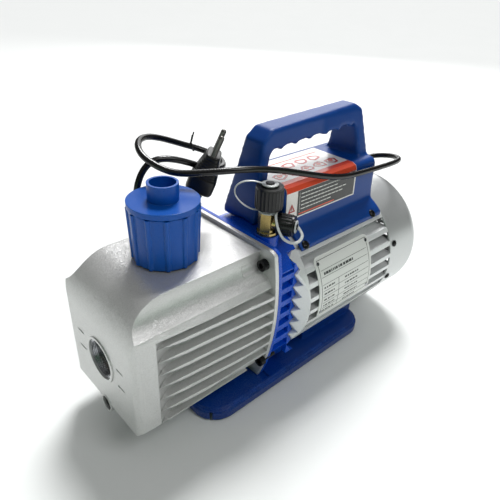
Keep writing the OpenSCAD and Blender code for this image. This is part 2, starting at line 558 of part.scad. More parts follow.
module handle_low() color([0.08, 0.24, 0.62]) difference() {
    union() {
        xsec(-4, 126) saddle2d();
        xsec(-13, 126.5) boxout2d();
        intersection() {
            ysec(40) grip_side2d();
            union() { xsec(-40, 60) hoop2d(); xsec(60, 130) rear_hoop2d(); }
            box([-60, -60, az + 63], [130, 60, 260]);
        }
    }
    // hollow of the terminal box
    xsec(-10, 122) difference() { boxout2d(3.2); translate([-60, 0]) square([120, az + motor_r + 4.2]); }
    // clear of the bracket and the motor
    translate([0, 0, az]) xcyl(-60, 140, motor_r + 0.3);
    // cable entry
    translate([60, 0, az + 60]) cylinder(h = 20, r = 9);
    // rocker switch, cord gland
    box([20, box_hw - 8, 164], [46, 60, 180]);
    box([17.9, box_hw + 0.2, 161.9], [48.1, 60, 182.1]);
    translate([gl[0] - 6, gl[1], gl[2]]) rotate([0, 90, 0]) cylinder(h = 10, r = 6.5);
    // screws into the motor
    for (s = [-1, 1], x = [3, 110]) translate([x, 0, az]) rotate([-s * 41, 0, 0]) translate([0, 0, 60]) cylinder(h = 18, r = 2.3);
    for (s = [-1, 1], x = [3, 110]) translate([x, 0, az]) rotate([-s * 41, 0, 0]) translate([0, 0, motor_r + 3]) cylinder(h = 18, r = 4.6);
}
module handle_screws_low() color([0.07, 0.07, 0.08]) for (s = [-1, 1], x = [3, 110])
    translate([x, 0, az]) rotate([-s * 41, 0, 0]) translate([0, 0, motor_r + 3]) pan_screw(3, 2.2, 4.3, 2.4);
module handle_label_low() color([0.9, 0.9, 0.88]) difference() {
    xsec(-11, 92) intersection() {
        difference() { boxout2d(-0.35); boxout2d(0); }
        translate([-60, 160]) square([85, 60]);
    }
    box([-60, -20, 150], [-13, 60, 260]);
}
// ---- nameplate -----------------------------------------------------------------------
module nameplate_low() color([0.86, 0.87, 0.86]) intersection() {
    translate([0, 0, az]) xsec(5, 89) intersection() {
        difference() { circle(motor_r + 0.95); circle(motor_r + 0.05); }
        translate([-90, -40]) square([60, 100]);
    }
    // rounded corners, cut at right angles to the plate
    translate([47, 0, az]) rotate([-12.5, 0, 0]) rotate([90, 0, 0]) translate([0, 0, 60]) linear_extrude(30) rrect(83.9, 63.4, 5);
}
module plate_rivets_low() color([0.7, 0.7, 0.72]) for (x = [9, 85], a = [-7.5, 32.5])
    translate([x, 0, az]) rotate([-a, 0, 0]) rotate([90, 0, 0]) { translate([0, 0, motor_r - 5]) cylinder(h = 6, r = 1.1); translate([0, 0, motor_r + 0.9]) cylinder(h = 0.7, r = 1.9); }
// ---- base ----------------------------------------------------------------------------
module base_plate() color([0.05, 0.16, 0.58]) difference() {
    union() {
        translate([0, 0, base_z]) linear_extrude(base_t - 4) base2d(0);
        translate([0, 0, base_z + base_t - 4]) linear_extrude(2.2) base2d(1.0);
        translate([0, 0, base_z + base_t - 1.8]) linear_extrude(1.8) base2d(3.0);
        // motor cradle
        intersection() {
            box([24, -44, base_top - 1], [110, 44, 36 + lift]);
            xcyl(24, 110, 88, 0, az + lift);
        }
    }
    difference() {
        box([-115, -57, base_z - 1], [109, 57, base_z + base_t - 4]);
        for (x = [-80, -25, 30, 88]) box([x - 5, -60, 0], [x + 5, 60, 30]);
        for (x = [-102, 101], s = [-1, 1]) translate([x, s * 42, 0]) cylinder(h = 30, r = 10.5);
    }
    for (x = [-102, 101], s = [-1, 1]) translate([x, s * 42, 0]) cylinder(h = base_z + 3, r = 4.02);
    xcyl(10, 120, motor_r + 0.1, 0, az + lift);
    // recess under the flange
    box([xf - 0.5, -60, 3 + lift - 0.3], [xg + 0.5, 60, 40]);
    for (s = [-1, 1], x = [-25, 40, 92]) translate([x, s * 34, 0]) cylinder(h = 60, r = 2.2);
    for (s = [-1, 1], x = [-25, 40, 92]) translate([x, s * 34, 0]) cylinder(h = base_z + 4, r = 5);
}
module base2d(g) translate([-3.5, 0]) rrect(235 - 2 * g, 2 * base_hw - 2 * g, 26 - g);
module base_screws() color([0.3, 0.3, 0.32]) for (s = [-1, 1], x = [-25, 40, 92]) translate([x, s * 34, base_z + 4]) mirror([0, 0, 1]) pan_screw(x < 0 ? 17 : 34, 2.0, 4.4, 2.4);
module rubber_feet() color([0.09, 0.09, 0.10]) for (x = [-102, 101], s = [-1, 1]) translate([x, s * 42, 0]) {
    cylinder(h = base_z, r1 = 8, r2 = 9);
    translate([0, 0, base_z]) cylinder(h = 3, r = 4);
}
// ---- electrical pieces ------------------------------------------------------------------
module capacitor_low() color([0.30, 0.31, 0.33]) {
    xcyl(-4, 46, 13, -12, 174);
    for (s = [-1, 1]) box([46, -12 + s * 5 - 3, 173.6], [54, -12 + s * 5 + 3, 174.4]);
}
module switch_frame_low() color([0.07, 0.07, 0.08]) difference() {
    union() {
        box([20.1, box_hw - 7, 164.1], [45.9, box_hw + 1.0, 179.9]);
        translate([33, 0, 172]) rotate([-90, 0, 0]) translate([0, 0, box_hw + 0.2]) linear_extrude(2.2) rrect(30, 20, 2);
        box([24, 14, 166], [42, box_hw - 6.9, 178]);
    }
    box([22.5, box_hw - 5, 166.5], [43.5, 60, 177.5]);
}
module power_switch_low() color([0.75, 0.08, 0.06])
    translate([33, box_hw + 0.4, 166.9]) rotate(-8) linear_extrude(10.2) polygon([[-9.9, 0.2], [-9.6, 2.0], [0, 0.9], [9.6, 2.0], [9.9, 0.2], [3, -2.4], [-3, -2.4]]);
module cord_gland_low() color([0.08, 0.08, 0.09]) translate([gl[0], gl[1], gl[2]]) rotate([0, 90, 0]) difference() {
    union() {
        cylinder(h = 2.5, r = 9);
        translate([0, 0, 2.4]) cylinder(h = 21, r1 = 6.4, r2 = 4.6);
        translate([0, 0, -3.4]) cylinder(h = 3.5, r = 6.4);
        for (k = [0:4]) translate([0, 0, 5 + k * 3.6]) cylinder(h = 1.5, r = 6.6 - k * 0.35);
    }
    translate([0, 0, -6]) cylinder(h = 40, r = cord_r);
}
// rings along a smooth line through the route points
function q(i) = i < 0 ? 2 * route[0] - route[1] : i >= len(route) ? 2 * route[len(route) - 1] - route[len(route) - 2] : route[i];
function bsp(i, t) = (pow(1 - t, 3) * q(i - 1) + (3 * pow(t, 3) - 6 * t * t + 4) * q(i) + (-3 * pow(t, 3) + 3 * t * t + 3 * t + 1) * q(i + 1) + pow(t, 3) * q(i + 2)) / 6;
line = [for (i = [0:len(route) - 2], k = [0:1]) bsp(i, k / 2), bsp(len(route) - 2, 1)];
function unit(v) = v / norm(v);
function tang(i) = unit(line[min(i + 1, len(line) - 1)] - line[max(i - 1, 0)]);
function across(u, t) = unit(u - (u * t) * t);
side = [for (i = 0, u = across([0, 0, 1], tang(0)); i < len(line); i = i + 1, u = across(u, tang(min(i, len(line) - 1)))) u];
cord_sides = 8;
module power_cord_low() color([0.05, 0.05, 0.06]) {
    n = len(line);
    pts = [for (i = [0:n - 1], a = [0:cord_sides - 1]) let (t = tang(i), u = side[i], w = cross(t, u), b = a * 360 / cord_sides)
        line[i] + cord_r * (cos(b) * u + sin(b) * w)];
    polyhedron(points = pts, faces = concat(
        [[for (a = [cord_sides - 1:-1:0]) a]],
        [for (i = [0:n - 2], a = [0:cord_sides - 1]) let (b = (a + 1) % cord_sides)
            [i * cord_sides + a, i * cord_sides + b, (i + 1) * cord_sides + b, (i + 1) * cord_sides + a]],
        [[for (a = [0:cord_sides - 1]) (n - 1) * cord_sides + a]]), convexity = 8);
}
module at_plug() translate(route[len(route) - 1]) rotate([0, 22.7, -45]) children();
module plug_body_low() color([0.07, 0.07, 0.08]) at_plug() {
    difference() {
        translate([0, 0, -14]) cylinder(h = 20, r1 = 4.6, r2 = 6.2);
        translate([0, 0, -15]) cylinder(h = 15, r = cord_r);
    }
    for (k = [0:3]) translate([0, 0, -11 + k * 4]) difference() { cylinder(h = 1.6, r = 6.2 + k * 0.3); translate([0, 0, -1]) cylinder(h = 4, r = cord_r); }
    translate([0, 0, 4]) linear_extrude(16) rrect(25, 27, 6);
    translate([0, 0, 20]) linear_extrude(10) rrect(22, 27, 5);
    translate([0, 0, 30]) linear_extrude(8) rrect(17, 26, 4);
    translate([0, 0, 38]) linear_extrude(4) rrect(13, 25, 3.5);
}
module plug_pins_low() color([0.78, 0.77, 0.72]) at_plug()
    for (s = [-1, 1]) translate([0, s * 9.5, 42]) { cylinder(h = 17, r = 2.4); translate([0, 0, 17]) sphere(2.4); }
module cord_tie_low() color([0.10, 0.10, 0.11]) translate([-40, 66.5, 209]) rotate([0, 75, -20]) {
    rotate_extrude() translate([cord_r + 0.9, 0]) circle(0.8);
    translate([-cord_r - 0.9, 0, 0]) rotate([0, -60, 0]) cylinder(h = 11, r = 0.7);
    translate([-cord_r - 0.9, 1.2, 0]) rotate([8, -64, 0]) cylinder(h = 8, r = 0.7);
}

// every piece above the base stands on it
module raised() translate([0, 0, lift]) children();
module oil_casing() raised() oil_casing_low();
module casing_gasket() raised() casing_gasket_low();
module pump_bracket() raised() pump_bracket_low();
module motor_housing() raised() motor_housing_low();
module motor_end_plate() raised() motor_end_plate_low();
module stator_core() raised() stator_core_low();
module stator_windings() raised() stator_windings_low();
module motor_shaft() raised() motor_shaft_low();
module rotor_core() raised() rotor_core_low();
module front_bearing() raised() front_bearing_low();
module rear_bearing() raised() rear_bearing_low();
module shaft_seal() raised() shaft_seal_low();
module cooling_fan() raised() cooling_fan_low();
module fan_cover() raised() fan_cover_low();
module fan_cover_screws() raised() fan_cover_screws_low();
module pump_cylinder() raised() pump_cylinder_low();
module pump_front_plate() raised() pump_front_plate_low();
module pump_rear_plate() raised() pump_rear_plate_low();
module pump_screws() raised() pump_screws_low();
module pump_rotor() raised() pump_rotor_low();
module vane_a() raised() vane_a_low();
module vane_b() raised() vane_b_low();
module vane_springs() raised() vane_springs_low();
module exhaust_valve() raised() exhaust_valve_low();
module valve_stop() raised() valve_stop_low();
module sight_glass() raised() sight_glass_low();
module sight_glass_ring() raised() sight_glass_ring_low();
module sight_glass_seal() raised() sight_glass_seal_low();
module drain_plug() raised() drain_plug_low();
module drain_seal() raised() drain_seal_low();
module exhaust_cap() raised() exhaust_cap_low();
module exhaust_seal() raised() exhaust_seal_low();
module exhaust_filter() raised() exhaust_filter_low();
module inlet_fitting() raised() inlet_fitting_low();
module inlet_screen() raised() inlet_screen_low();
module inlet_cap_top() raised() inlet_cap_top_low();
module inlet_seal_top() raised() inlet_seal_top_low();
module inlet_cap_side() raised() inlet_cap_side_low();
module inlet_seal_side() raised() inlet_seal_side_low();
module tether_top() raised() tether_top_low();
module tether_side() raised() tether_side_low();
module flange_screws() raised() flange_screws_low();
module handle() raised() handle_low();
module handle_label() raised() handle_label_low();
module handle_screws() raised() handle_screws_low();
module nameplate() raised() nameplate_low();
module plate_rivets() raised() plate_rivets_low();
module capacitor() raised() capacitor_low();
module power_switch() raised() power_switch_low();
module switch_frame() raised() switch_frame_low();
module cord_gland() raised() cord_gland_low();
module power_cord() raised() power_cord_low();
module plug_body() raised() plug_body_low();
module plug_pins() raised() plug_pins_low();
module cord_tie() raised() cord_tie_low();

oil_casing();
casing_gasket();
pump_bracket();
motor_housing();
motor_end_plate();
stator_core();
stator_windings();
motor_shaft();
rotor_core();
front_bearing();
rear_bearing();
shaft_seal();
cooling_fan();
fan_cover();
fan_cover_screws();
pump_cylinder();
pump_front_plate();
pump_rear_plate();
pump_screws();
pump_rotor();
vane_a();
vane_b();
vane_springs();
exhaust_valve();
valve_stop();
sight_glass();
sight_glass_ring();
sight_glass_seal();
drain_plug();
drain_seal();
exhaust_cap();
exhaust_seal();
exhaust_filter();
inlet_fitting();
inlet_screen();
inlet_cap_top();
inlet_seal_top();
inlet_cap_side();
inlet_seal_side();
tether_top();
tether_side();
flange_screws();
handle();
handle_label();
handle_screws();
nameplate();
plate_rivets();
base_plate();
base_screws();
rubber_feet();
capacitor();
power_switch();
switch_frame();
cord_gland();
power_cord();
plug_body();
plug_pins();
cord_tie();
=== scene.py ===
import bpy, bmesh, math, random
import numpy as np
from mathutils import Matrix, Vector


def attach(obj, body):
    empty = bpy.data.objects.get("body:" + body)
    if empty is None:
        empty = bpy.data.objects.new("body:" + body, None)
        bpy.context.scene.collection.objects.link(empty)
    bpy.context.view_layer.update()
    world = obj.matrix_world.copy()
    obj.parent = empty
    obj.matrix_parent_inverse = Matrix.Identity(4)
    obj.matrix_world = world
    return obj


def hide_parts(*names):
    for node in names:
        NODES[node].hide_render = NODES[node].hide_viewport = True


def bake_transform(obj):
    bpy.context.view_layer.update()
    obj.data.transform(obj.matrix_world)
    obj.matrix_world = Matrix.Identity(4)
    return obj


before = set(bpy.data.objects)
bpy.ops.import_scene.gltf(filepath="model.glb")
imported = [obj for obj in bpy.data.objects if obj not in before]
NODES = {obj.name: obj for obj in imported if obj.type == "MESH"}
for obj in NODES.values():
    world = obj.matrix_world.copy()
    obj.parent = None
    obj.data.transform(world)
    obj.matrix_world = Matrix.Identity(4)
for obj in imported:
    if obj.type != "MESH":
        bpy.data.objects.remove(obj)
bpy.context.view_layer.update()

scene = bpy.context.scene
scene.view_settings.view_transform = "Standard"

# ---------------------------------------------------------------- camera
def add_camera():
    a, e, r = math.radians(-44.16), math.radians(30.86), math.radians(2.96)
    back = Vector((math.sin(a) * math.cos(e), -math.cos(a) * math.cos(e), math.sin(e)))
    right = (-back).cross(Vector((0, 0, 1))).normalized()
    up = right.cross(-back)
    rr = right * math.cos(r) + up * math.sin(r)
    uu = -right * math.sin(r) + up * math.cos(r)
    data = bpy.data.cameras.new("Camera")
    data.lens, data.sensor_width = 34.86, 36.0
    data.clip_start, data.clip_end = 0.02, 50
    cam = bpy.data.objects.new("Camera", data)
    m = Matrix((rr, uu, back)).transposed().to_4x4()
    m.translation = Vector((-0.3086, -0.2971, 0.3737))
    cam.matrix_world = m
    scene.collection.objects.link(cam)
    scene.camera = cam
add_camera()

# ---------------------------------------------------------------- node helpers
def lin(r, g, b):
    return tuple(((c / 255) / 12.92 if c / 255 <= 0.04045 else ((c / 255 + 0.055) / 1.055) ** 2.4) for c in (r, g, b)) + (1.0,)

class G:
    """A small builder for one material's node tree."""
    def __init__(self, name):
        self.m = bpy.data.materials.new(name)
        self.m.use_nodes = True
        self.t = self.m.node_tree
        self.b = self.t.nodes["Principled BSDF"] if "Principled BSDF" in self.t.nodes else None
        if self.b is None:
            self.t.nodes.clear()
            out = self.t.nodes.new("ShaderNodeOutputMaterial")
            self.b = self.t.nodes.new("ShaderNodeBsdfPrincipled")
            self.t.links.new(self.b.outputs[0], out.inputs[0])
        self.co = self.n("ShaderNodeTexCoord").outputs["Object"]
    def n(self, kind, **kw):
        node = self.t.nodes.new(kind)
        for k, v in kw.items():
            setattr(node, k, v)
        return node
    def link(self, a, b):
        self.t.links.new(a, b)
    def put(self, sock, v):
        if isinstance(v, bpy.types.NodeSocket):
            self.link(v, sock)
        else:
            sock.default_value = v
    def math(self, op, a, b=None, clamp=False):
        x = self.n("ShaderNodeMath", operation=op, use_clamp=clamp)
        self.put(x.inputs[0], a)
        if b is not None:
            self.put(x.inputs[1], b)
        return x.outputs[0]
    def noise(self, scale, detail=3.0, rough=0.55, co=None, stretch=None):
        src = co or self.co
        if stretch:
            mp = self.n("ShaderNodeMapping")
            mp.inputs["Scale"].default_value = stretch
            self.link(src, mp.inputs["Vector"])
            src = mp.outputs[0]
        x = self.n("ShaderNodeTexNoise")
        self.link(src, x.inputs["Vector"])
        x.inputs["Scale"].default_value = scale
        x.inputs["Detail"].default_value = detail
        x.inputs["Roughness"].default_value = rough
        return x.outputs["Fac"]
    def voronoi(self, scale, feature="F1", out="Distance", stretch=None):
        src = self.co
        if stretch:
            mp = self.n("ShaderNodeMapping")
            mp.inputs["Scale"].default_value = stretch
            self.link(src, mp.inputs["Vector"])
            src = mp.outputs[0]
        x = self.n("ShaderNodeTexVoronoi", feature=feature)
        self.link(src, x.inputs["Vector"])
        x.inputs["Scale"].default_value = scale
        return x.outputs[out]
    def map(self, v, a, b, c, d, clamp=True):
        x = self.n("ShaderNodeMapRange", clamp=clamp)
        self.put(x.inputs[0], v)
        for i, k in enumerate((a, b, c, d)):
            x.inputs[i + 1].default_value = k
        return x.outputs[0]
    def mix(self, f, a, b, blend="MIX"):
        x = self.n("ShaderNodeMix", data_type="RGBA", blend_type=blend)
        self.put(x.inputs[0], f)
        self.put(x.inputs[6], a)
        self.put(x.inputs[7], b)
        return x.outputs[2]
    def bump(self, h, strength, dist, normal=None):
        x = self.n("ShaderNodeBump")
        x.inputs["Strength"].default_value = strength
        x.inputs["Distance"].default_value = dist
        self.link(h, x.inputs["Height"])
        if normal is not None:
            self.link(normal, x.inputs["Normal"])
        return x.outputs[0]
    def round(self, radius, samples=6):
        x = self.n("ShaderNodeBevel", samples=samples)
        x.inputs["Radius"].default_value = radius
        return x.outputs[0]
    def edge(self, radius, lo=0.0, hi=0.12):
        """1 near an edge, 0 on a flat, from how far the rounded normal leans."""
        nb = self.round(radius, 4)
        ge = self.n("ShaderNodeNewGeometry")
        d = self.n("ShaderNodeVectorMath", operation="DOT_PRODUCT")
        self.link(nb, d.inputs[0])
        self.link(ge.outputs["Normal"], d.inputs[1])
        return self.map(self.math("SUBTRACT", 1.0, d.outputs["Value"]), lo, hi, 0.0, 1.0)

MATS = {}
def surface(name, col, rough=0.4, metal=0.0, var=0.08, vscale=14, grain=0.05, gscale=900, fine=0.05, fscale=260,
            bevel=0.0006, spec=0.5, coat=0.0, wear=0.35, wearcol=None, rvar=0.10, smudge=9, stretch=None, dust=0.0, trans=0.0, ior=1.45, sheen=0.0, dark=0.55):
    g = G(name)
    b = g.b
    big = g.noise(vscale, 4, 0.6)
    gr = g.noise(gscale, 2, 0.7, stretch=stretch)
    sp = g.voronoi(gscale * 1.6, stretch=stretch)
    base = lin(*col)
    lo = tuple(c * dark for c in base[:3]) + (1,)
    hi = tuple(min(1, c * (1 + 0.35)) for c in base[:3]) + (1,)
    c = g.mix(g.map(big, 0.32, 0.68, 0, var), base, lo)
    c = g.mix(g.map(gr, 0.45, 0.75, 0, grain), c, hi)
    c = g.mix(g.map(gr, 0.25, 0.5, grain * 1.2, 0), c, lo)
    # painted edge highlight mixed with edge wear: every edge found by the bevel mask is lightened, partly for real
    # rubbed paint, partly to paint the light that catches rounded edges
    if wear > 0 and bevel > 0:
        e = g.edge(bevel * 1.6)
        patch = g.map(g.noise(120, 4, 0.7), 0.42, 0.62, 0.1, 1.0)
        c = g.mix(g.math("MULTIPLY", g.math("MULTIPLY", e, patch), wear), c, lin(*(wearcol or tuple(min(255, int(x * 1.25 + 18)) for x in col))))
    if dust > 0:
        ge = g.n("ShaderNodeNewGeometry")
        sx = g.n("ShaderNodeSeparateXYZ")
        g.link(ge.outputs["Normal"], sx.inputs[0])
        upf = g.map(sx.outputs[2], 0.3, 0.95, 0, dust)
        c = g.mix(g.math("MULTIPLY", upf, g.map(g.noise(45, 5, 0.7), 0.35, 0.65, 0.2, 1)), c, lin(205, 203, 196))
    g.put(b.inputs["Base Color"], c)
    r = g.map(g.noise(smudge, 5, 0.65), 0.3, 0.7, rough - rvar, rough + rvar)
    r = g.math("ADD", r, g.map(gr, 0.3, 0.7, -0.03, 0.05), clamp=True)
    g.put(b.inputs["Roughness"], r)
    b.inputs["Metallic"].default_value = metal
    b.inputs["IOR"].default_value = ior
    b.inputs["Specular IOR Level"].default_value = spec
    b.inputs["Coat Weight"].default_value = coat
    b.inputs["Coat Roughness"].default_value = 0.12
    b.inputs["Transmission Weight"].default_value = trans
    if sheen:
        b.inputs["Sheen Weight"].default_value = sheen
    nrm = g.round(bevel) if bevel > 0 else None
    if fine > 0:
        nrm = g.bump(g.noise(fscale, 3, 0.6, stretch=stretch), fine, 0.0004, nrm)
        nrm = g.bump(sp, fine * 0.8, 0.00012, nrm)
    if nrm is not None:
        g.link(nrm, b.inputs["Normal"])
    MATS[name] = g.m
    return g

def sparkle(name, col, rough, metal, grain, bevel, fleck=0.35, **kw):
    """Silver paint with metal flakes: each flake tilts its own way."""
    g = surface(name, col, rough, metal, grain=grain, bevel=bevel, **kw)
    b = g.b
    fl = g.n("ShaderNodeTexVoronoi", feature="F1")
    g.link(g.co, fl.inputs["Vector"])
    fl.inputs["Scale"].default_value = 2600
    fr = g.n("ShaderNodeTexVoronoi", feature="F1")
    g.link(g.co, fr.inputs["Vector"])
    fr.inputs["Scale"].default_value = 1700
    old = b.inputs["Normal"].links[0].from_socket
    v1 = g.n("ShaderNodeVectorMath", operation="SUBTRACT")
    g.link(fl.outputs["Color"], v1.inputs[0]); v1.inputs[1].default_value = (0.5, 0.5, 0.5)
    v2 = g.n("ShaderNodeVectorMath", operation="SCALE")
    g.link(v1.outputs[0], v2.inputs[0]); v2.inputs["Scale"].default_value = fleck
    v3 = g.n("ShaderNodeVectorMath", operation="ADD")
    g.link(v2.outputs[0], v3.inputs[0]); g.link(old, v3.inputs[1])
    v4 = g.n("ShaderNodeVectorMath", operation="NORMALIZE")
    g.link(v3.outputs[0], v4.inputs[0])
    g.link(v4.outputs[0], b.inputs["Normal"])
    # single dark and bright flakes in the colour
    sep = g.n("ShaderNodeSeparateColor"); g.link(fr.outputs["Color"], sep.inputs[0])
    base_in = b.inputs["Base Color"].links[0].from_socket
    c = g.mix(g.map(sep.outputs[0], 0.78, 1.0, 0.0, grain * 2.6), base_in, lin(*(int(x * 0.45) for x in col)))
    c = g.mix(g.map(sep.outputs[1], 0.8, 1.0, 0.0, grain * 2.2), c, lin(*(min(255, int(x * 1.2)) for x in col)))
    g.link(c, b.inputs["Base Color"])
    return g

sparkle("cast_silver", (206, 206, 205), 0.36, 0.55, 0.05, 0.0012, fleck=0.34, var=0.03, vscale=7, fine=0.10, fscale=520, wear=0.5, wearcol=(240, 240, 238), rvar=0.03)
sparkle("fin_silver", (226, 228, 228), 0.34, 0.35, 0.03, 0.0007, fleck=0.10, var=0.04, vscale=12, fine=0.08, fscale=500, wear=0.6, wearcol=(250, 250, 248), rvar=0.04)
sparkle("cover_silver", (202, 204, 204), 0.32, 0.60, 0.02, 0.0014, fleck=0.02, var=0.02, vscale=6, fine=0.03, fscale=240, wear=0.4, wearcol=(235, 235, 233), rvar=0.03)
surface("gasket", (60, 54, 46), 0.75, var=0.3, vscale=60, grain=0.3, gscale=1400, fine=0.3, bevel=0.0002)
surface("blue_paint", (0, 76, 196), 0.28, var=0.14, vscale=16, grain=0.04, gscale=1100, fine=0.10, fscale=230, bevel=0.0012, coat=0.15, spec=0.35, wear=0.5, wearcol=(30, 120, 240), dust=0.004, rvar=0.05)
surface("blue_base", (0, 50, 128), 0.28, var=0.16, vscale=11, grain=0.05, gscale=1000, fine=0.12, fscale=210, bevel=0.0024, coat=0.12, spec=0.35, wear=0.35, wearcol=(30, 90, 200), dust=0.004, rvar=0.05)
surface("blue_handle", (0, 60, 136), 0.34, var=0.14, vscale=9, grain=0.07, gscale=1700, fine=0.16, fscale=1500, bevel=0.0032, spec=0.32, wear=0.2, wearcol=(40, 110, 200), dust=0.006, rvar=0.05)
surface("blue_cap", (2, 78, 166), 0.30, var=0.12, vscale=14, grain=0.05, gscale=1500, fine=0.08, fscale=900, bevel=0.0009, spec=0.32, wear=0.4, wearcol=(50, 130, 220), dust=0.006, rvar=0.05)
surface("brass", (178, 156, 102), 0.26, metal=0.92, var=0.25, vscale=60, grain=0.10, gscale=900, fine=0.08, fscale=700, bevel=0.0006, wear=0.6, wearcol=(232, 212, 160), stretch=(1, 1, 6))
surface("black_plastic", (7, 7, 8), 0.30, var=0.25, vscale=22, grain=0.14, gscale=1600, fine=0.14, fscale=1100, bevel=0.0007, spec=0.5, wear=0.3, wearcol=(36, 36, 38), dust=0.004, dark=0.5, rvar=0.06)
surface("black_rubber", (8, 8, 9), 0.50, var=0.3, vscale=30, grain=0.18, gscale=1300, fine=0.3, fscale=900, bevel=0.0005, spec=0.4, wear=0.3, wearcol=(34, 34, 36), dust=0.006)
surface("black_screw", (12, 12, 13), 0.26, metal=0.4, var=0.3, vscale=70, grain=0.2, gscale=1500, fine=0.12, fscale=900, bevel=0.0004, wear=0.7, wearcol=(90, 90, 94))
surface("bright_steel", (176, 178, 182), 0.24, metal=1.0, var=0.2, vscale=40, grain=0.08, gscale=800, fine=0.08, fscale=900, bevel=0.0003, wear=0.5, stretch=(6, 1, 1))
surface("dark_steel", (92, 94, 98), 0.35, metal=0.9, var=0.3, vscale=50, grain=0.12, gscale=900, fine=0.12, fscale=800, bevel=0.0004, wear=0.5)
surface("copper", (178, 96, 52), 0.3, metal=0.9, var=0.3, vscale=80, grain=0.15, gscale=700, fine=0.4, fscale=900, bevel=0.0005, stretch=(1, 8, 8))
surface("carbon", (44, 44, 47), 0.5, var=0.3, vscale=60, grain=0.2, gscale=1500, fine=0.15, bevel=0.0003)
surface("white_seal", (188, 198, 194), 0.5, var=0.1, vscale=40, grain=0.06, fine=0.1, bevel=0.0003)
surface("filter_felt", (214, 208, 190), 0.9, var=0.3, vscale=60, grain=0.3, gscale=900, fine=0.7, fscale=700, bevel=0.0004, sheen=0.3)
surface("pin_metal", (104, 102, 98), 0.26, metal=0.85, var=0.3, vscale=80, grain=0.12, gscale=900, fine=0.08, bevel=0.0006, wear=0.6, wearcol=(200, 198, 192))
surface("cord_black", (6, 6, 7), 0.22, var=0.2, vscale=18, grain=0.10, gscale=1400, fine=0.08, fscale=800, bevel=0.0, spec=0.55, wear=0, dust=0.003, rvar=0.05)
surface("tie_black", (14, 14, 15), 0.4, var=0.2, vscale=60, grain=0.2, gscale=1200, fine=0.3, fscale=900, bevel=0.0003)
surface("plate_metal", (224, 226, 222), 0.36, metal=0.12, var=0.08, vscale=22, grain=0.05, gscale=900, fine=0.05, fscale=900, bevel=0.0002, wear=0.4, stretch=(1, 9, 9))
surface("label_white", (226, 222, 218), 0.30, var=0.10, vscale=26, grain=0.05, gscale=1100, fine=0.05, fscale=500, bevel=0.0003, coat=0.4, wear=0.2)
surface("ink_black", (10, 14, 12), 0.30, var=0.12, vscale=30, grain=0.08, gscale=1300, fine=0.05, fscale=500, bevel=0.0, coat=0.3, wear=0)
surface("ink_orange", (214, 70, 36), 0.32, var=0.12, vscale=30, grain=0.08, gscale=1300, fine=0.05, fscale=500, bevel=0.0, coat=0.3, wear=0)
surface("ink_red", (176, 34, 24), 0.34, var=0.14, vscale=40, grain=0.10, gscale=1300, fine=0.05, fscale=500, bevel=0.0, coat=0.3, wear=0)
surface("ink_white", (222, 222, 216), 0.38, var=0.12, vscale=30, grain=0.08, gscale=1300, fine=0.05, fscale=500, bevel=0.0, wear=0)
surface("ink_grey", (64, 68, 66), 0.42, var=0.2, vscale=30, grain=0.12, gscale=1300, fine=0.05, fscale=500, bevel=0.0, wear=0)
surface("clear_strap", (226, 230, 229), 0.22, var=0.06, vscale=60, grain=0.04, gscale=900, fine=0.05, fscale=400, bevel=0.0002, trans=0.25, ior=1.46, coat=0.3, wear=0.1)

def glass():
    g = G("lens_glass")
    b = g.b
    n = g.noise(40, 4, 0.6)
    c = g.mix(g.map(n, 0.35, 0.65, 0.0, 0.5), lin(38, 42, 42), lin(70, 76, 74))
    # oil level behind the window
    sx = g.n("ShaderNodeSeparateXYZ"); g.link(g.co, sx.inputs[0])
    lvl = g.map(g.math("ADD", sx.outputs[2], g.math("MULTIPLY", g.noise(90, 2), 0.0012)), 0.0745, 0.0765, 1.0, 0.0)
    c = g.mix(lvl, c, lin(58, 50, 34))
    g.put(b.inputs["Base Color"], c)
    g.put(b.inputs["Roughness"], g.map(g.noise(160, 4), 0.3, 0.7, 0.03, 0.12))
    b.inputs["Coat Weight"].default_value = 1.0
    b.inputs["Coat Roughness"].default_value = 0.04
    b.inputs["Specular IOR Level"].default_value = 0.8
    g.link(g.bump(g.noise(70, 2), 0.04, 0.0006, g.round(0.0006)), b.inputs["Normal"])
    MATS["lens_glass"] = g.m
glass()

# ---------------------------------------------------------------- CAD nodes
ASSIGN = {
    "cast_silver": ["oil_casing"],
    "gasket": ["casing_gasket"],
    "blue_paint": ["pump_bracket"],
    "fin_silver": ["motor_housing"],
    "cover_silver": ["fan_cover"],
    "blue_base": ["base_plate"],
    "blue_handle": ["handle"],
    "blue_cap": ["exhaust_cap"],
    "brass": ["inlet_fitting"],
    "black_plastic": ["inlet_cap_top", "inlet_cap_side", "plug_body", "power_switch", "switch_frame", "capacitor", "cooling_fan"],
    "black_rubber": ["rubber_feet", "cord_gland", "shaft_seal", "exhaust_seal", "drain_seal", "sight_glass_seal"],
    "black_screw": ["flange_screws", "handle_screws", "fan_cover_screws", "drain_plug"],
    "bright_steel": ["sight_glass_ring", "motor_shaft", "front_bearing", "rear_bearing", "plate_rivets", "inlet_screen", "valve_stop", "exhaust_valve", "vane_springs", "pump_rotor"],
    "dark_steel": ["pump_cylinder", "pump_front_plate", "pump_rear_plate", "pump_screws", "base_screws", "stator_core", "rotor_core", "motor_end_plate"],
    "copper": ["stator_windings"],
    "carbon": ["vane_a", "vane_b"],
    "white_seal": ["inlet_seal_top", "inlet_seal_side"],
    "filter_felt": ["exhaust_filter"],
    "pin_metal": ["plug_pins"],
    "cord_black": ["power_cord"],
    "tie_black": ["cord_tie"],
    "plate_metal": ["nameplate"],
    "label_white": ["handle_label"],
    "clear_strap": ["tether_top", "tether_side"],
    "lens_glass": ["sight_glass"],
}
done = set()
for mname, names in ASSIGN.items():
    for nm in names:
        if nm in NODES:
            o = NODES[nm]
            if not o.data.materials:
                o.data.materials.append(MATS[mname])
            for i in range(len(o.material_slots)):
                o.material_slots[i].material = MATS[mname]
            done.add(nm)
for nm in sorted(set(NODES) - done):
    print("NO MATERIAL FOR", nm)

